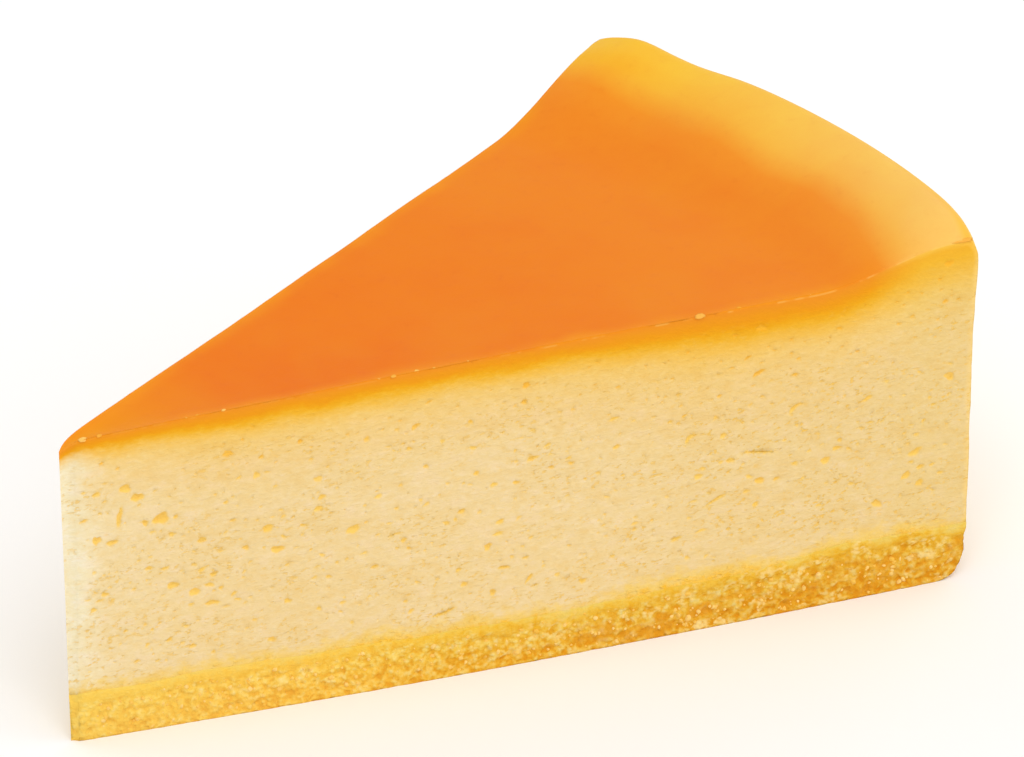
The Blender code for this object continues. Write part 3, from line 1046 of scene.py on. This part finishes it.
def with_flecks(g, surface, skin, pits, ridges, fine):
    """The surface with painted shade in its pores and pits, patches of deeper and paler tone, and painted
    highlights on its ridges.
    """
    # Painted shade: the pores' hollows are painted a warm, darker gold.
    pore = g.span(g.fact("pore_depth"), 0.0, 0.16, 0.0, 0.9)
    pore_painted_shade = g.mix(g.span(skin, 3.0, 9.0), colour(245, 182, 50), colour(247, 204, 96))
    surface = g.mix(pore, surface, pore_painted_shade)
    # Painted shade: the fine pits are painted a darker gold, more so toward the rim.
    pit_shade_strength = g.span(g.fact("tip_distance"), 55.0, 85.0, 0.7, 0.95)
    surface = g.mix(g.times(pits, pit_shade_strength), surface, colour(238, 191, 90))
    uneven = g.noise(1.9, 1.9, 1.2, 2.0, 0.6)
    below_skin = g.span(skin, 1.0, 5.0)
    deeper = g.times(g.span(uneven, 0.5, 0.3, 0.0, 0.9), below_skin)
    surface = g.tinted(deeper, surface, 0.985, 0.935, 0.83)
    surface = g.tinted(g.times(g.span(uneven, 0.5, 0.7), below_skin), surface, 1.015, 1.02, 1.13)
    # Painted highlight: the raised ridges and fine bumps of the relief are painted paler.
    painted_light = g.math("MAXIMUM", g.span(ridges, 0.54, 0.72), g.span(fine, 0.52, 0.7))
    return g.tinted(g.times(painted_light, g.span(skin, 0.5, 3.0)), surface, 1.02, 1.05, 1.14)


def custard_material():
    """Cream at the cuts, with a browned skin on top and a golden rind at the wall and the base."""
    g = Graph("baked_custard")
    soft = g.noise(6.0, 6.0, 3.5, 2.0)
    fine = g.noise(0.9, 0.9, 0.5, 2.0, 0.6)
    mottle = g.noise(1.4, 1.4, 1.4, 3.0, 0.65)
    grain = g.noise(0.75, 0.75, 0.6, 3.0, 0.65)
    depth = g.fact("skin_depth")
    tip = g.fact("tip_distance")

    # Depth under the skin, made uneven. It counts for more at the tip, where the gold line is
    # thinner, and for less toward the rim, where the line is wider.
    wobble = g.math("MULTIPLY_ADD", soft, 1.6, g.math("MULTIPLY_ADD", fine, 0.8, -1.2))
    skin = g.math("MULTIPLY_ADD", wobble, g.span(depth, 0.0, 1.2), depth)
    weight = g.math("ADD", g.span(tip, 4.0, 20.0, 1.3, 1.05), g.span(tip, 50.0, 73.0, 0.0, -0.42))
    skin = g.times(skin, g.math("ADD", weight, g.span(tip, 2.0, 4.5, 0.45, 0.0)))
    surface = g.mix(g.span(depth, 0.0, 0.3), browned_top(g, soft, mottle), cut_cream(g, soft, skin))

    # Pale torn spots along the top edge of the cuts, then the rind of the outer wall
    torn = g.times(
        g.span(depth, 0.02, 0.12), g.span(depth, 0.32, 0.2),
        g.span(g.noise(1.6, 1.6, 5.0, 1.0), 0.5, 0.6, 0.0, 0.75),
        g.span(tip, 45.0, 65.0, 0.1, 0.4), g.span(g.fact("cut_distance"), 0.3, 0.1),
    )
    surface = g.mix(torn, surface, colour(250, 208, 112))
    surface = with_rind(g, surface, soft, depth)

    # The soaked line over the base
    level = base_level(g)
    surface = g.mix(g.span(level, 1.7, 0.4, 0.0, 0.8), surface, SOAKED_CREAM)
    surface = g.mix(g.span(level, 0.3, -0.7), surface, soaked_gold(g, grain))

    # Fine pits and ridges in relief, with painted shade in the pits and a painted highlight on the ridges
    patchy = g.span(g.noise(9.0, 9.0, 5.0, 1.0), 0.38, 0.6, 0.12, 1.0)
    pits = g.times(g.span(g.slanted(0.75, 0.42, 2.0), 0.56, 0.68), g.span(skin, 1.0, 6.0), patchy)
    ridges = g.slanted(1.1, 0.38, 2.0)
    surface = with_flecks(g, surface, skin, pits, ridges, fine)
    on_cut = g.span(depth, 0.2, 2.2)
    height = g.times(g.math("MULTIPLY_ADD", pits, -0.38, ridges), on_cut)
    height = g.math("MULTIPLY_ADD", fine, g.span(depth, 0.2, 2.2, 0.2, 0.7), height)
    height = g.math("MULTIPLY_ADD", grain, g.span(level, 0.4, -0.6, 0.0, 2.9), height)
    roughness = g.math("MAXIMUM", g.vary(mottle, 0.42, 0.52), g.times(on_cut, 0.62))
    return g.finish(surface, roughness, g.bump(height, 0.115), 0.06)


def base_level(g):
    """Height over an uneven line near the base's top, the same in both layers' materials."""
    sway = g.vary(g.noise(6.0, 6.0, 9.0, 2.0), -1.0, 1.0)
    sway = g.times(sway, g.span(g.fact("tip_distance"), 30.0, 80.0, 0.5, 1.1))
    level = g.math("ADD", g.fact("over_base"), sway)
    return g.math("ADD", level, g.vary(g.noise(1.1, 1.1, 0.7, 2.0), -0.6, 0.6))


def soaked_gold(g, grain):
    """The gold line where the custard has soaked into the crumb."""
    return g.mix(g.span(grain, 0.35, 0.7), colour(246, 186, 50), colour(249, 202, 84))


def crumb_material():
    """Golden crumb, pale on raised grains with painted shade between them, and browned and painted shade
    along the bottom.
    """
    g = Graph("crumb_base")
    level = base_level(g)
    tip = g.fact("tip_distance")
    broad = g.noise(3.4, 3.4, 2.0, 2.0, 0.6)
    clump = g.noise(1.5, 1.5, 1.1, 2.0, 0.6)
    grain = g.noise(0.75, 0.75, 0.6, 3.0, 0.65)
    knobs = g.span(g.cells(0.7, 0.7, 0.55), 0.6, 0.2)
    speck = g.math("MULTIPLY_ADD", knobs, 0.3, g.vary(grain, 0.0, 0.45))
    speck = g.math("ADD", speck, g.vary(clump, -0.12, 0.37))
    # The crumb's tone follows its relief: paler on the raised grains, and darker down between them, which is
    # painted shade.
    crumb = g.ramp(speck, 0.1, 0.95, [
        (0.1, 238, 168, 42), (0.35, 246, 192, 68), (0.6, 252, 213, 110),
        (0.95, 254, 232, 166),
    ])
    # Darker along the bottom: partly the browned underside, partly painted shade.
    low = g.math("ADD", g.fact("over_base"), g.vary(broad, -1.4, 1.4))
    crumb = g.tinted(g.span(low, -2.6, -4.6, 0.0, 0.9), crumb, 0.97, 0.84, 0.58)
    base = g.mix(g.span(level, -0.7, -1.9), soaked_gold(g, grain), crumb)
    base = g.mix(g.span(level, 0.3, -0.7), SOAKED_CREAM, base)
    base = g.mix(g.span(level, 0.4, 1.7, 0.0, 0.9), base, colour(237, 206, 140))

    # Yellower toward the tip, and deeper and more uneven toward the rim
    base = g.mix(g.span(tip, 2.0, 45.0, 0.6, 0.0), base, colour(248, 214, 102))
    toward_rim = g.times(g.span(tip, 35.0, 75.0, 0.0, 0.85), g.span(level, 0.0, -1.4))
    base = g.tinted(toward_rim, base, 0.9, 0.82, 0.62)
    base = g.tinted(g.span(tip, 24.0, 44.0), base, 0.95, 1.0, 0.97)
    blotch = g.times(g.span(broad, 0.5, 0.62), g.span(tip, 35.0, 70.0, 0.1, 0.8), g.span(low, -0.6, -2.2))
    base = g.mix(blotch, base, colour(226, 152, 34))
    clear = g.times(g.span(broad, 0.48, 0.36), g.span(tip, 35.0, 70.0, 0.0, 0.55), g.span(speck, 0.3, 0.6))
    base = g.mix(clear, base, colour(252, 224, 156))
    rise = g.times(speck, g.span(level, -0.4, -1.9))
    rise = g.math("MULTIPLY_ADD", grain, g.span(level, -0.4, -1.9, 1.1, 0.3), rise)
    return g.finish(base, 0.85, g.bump(rise, 0.2), 0.06)


def loose_material(name, dark, light):
    """Small lumps, each of its own tone."""
    g = Graph(name)
    tone = g.fact("tone")
    base = g.mix(tone, dark, light)
    speck = g.noise(0.35, 0.35, 0.35, 3.0)
    base = g.mix(g.span(speck, 0.4, 0.7, 0.0, 0.4), base, dark)
    return g.finish(base, 0.8, g.bump(speck, 0.12), 0.12)


def add_light(name, location, size, watts):
    """A square soft light aimed at the slice."""
    data = bpy.data.lights.new(name, "AREA")
    data.shape = "SQUARE"
    data.size = size
    data.energy = watts
    lamp = add_object(name, data)
    lamp.location = location
    lamp.rotation_euler = (Vector(LIGHT_TARGET) - Vector(location)).to_track_quat("-Z", "Y").to_euler()


def make_studio():
    """A pale floor, an even white surround and soft lights."""
    data = bpy.data.meshes.new("studio_floor")
    half = FLOOR_HALF
    corners = [(-half, -half, 0.0), (half, -half, 0.0), (half, half, 0.0), (-half, half, 0.0)]
    data.from_pydata(corners, [], [(0, 1, 2, 3)])
    floor = add_object("studio_floor", data)
    floor.location = (0.0, 0.0, cad_box[0].z)
    g = Graph("studio_floor")
    g.shader.inputs["Base Color"].default_value = (0.97, 0.97, 0.97, 1.0)
    g.shader.inputs["Roughness"].default_value = 0.9
    g.shader.inputs["Specular IOR Level"].default_value = 0.1
    data.materials.append(g.material)
    world = bpy.data.worlds.new("studio")
    bpy.context.scene.world = world
    world.use_nodes = True
    background = world.node_tree.nodes["Background"]
    background.inputs["Color"].default_value = (1.0, 1.0, 1.0, 1.0)
    background.inputs["Strength"].default_value = SURROUND
    for light in LIGHTS:
        add_light(*light)
    bpy.context.scene.view_settings.view_transform = "Standard"
    bpy.context.scene.view_settings.look = "None"


def make_camera():
    """The photo's viewpoint."""
    azimuth = math.radians(CAMERA_AZIMUTH)
    elevation = math.radians(CAMERA_ELEVATION)
    back = Vector((
        math.sin(azimuth) * math.cos(elevation),
        -math.cos(azimuth) * math.cos(elevation),
        math.sin(elevation),
    ))
    data = bpy.data.cameras.new("camera")
    data.lens = CAMERA_LENS
    data.sensor_width = 36.0
    camera = add_object("camera", data)
    camera.location = Vector(CAMERA_TARGET) + back * CAMERA_DISTANCE
    camera.rotation_euler = (-back).to_track_quat("-Z", "Y").to_euler()
    bpy.context.scene.camera = camera


make_camera()
make_studio()
make_custard(custard_material())
make_base(crumb_material())
make_crumbs(loose_material("loose_crumb", colour(245, 192, 76), colour(252, 218, 138)))
make_flakes(loose_material("skin_flake", colour(244, 168, 52), colour(250, 204, 112)))
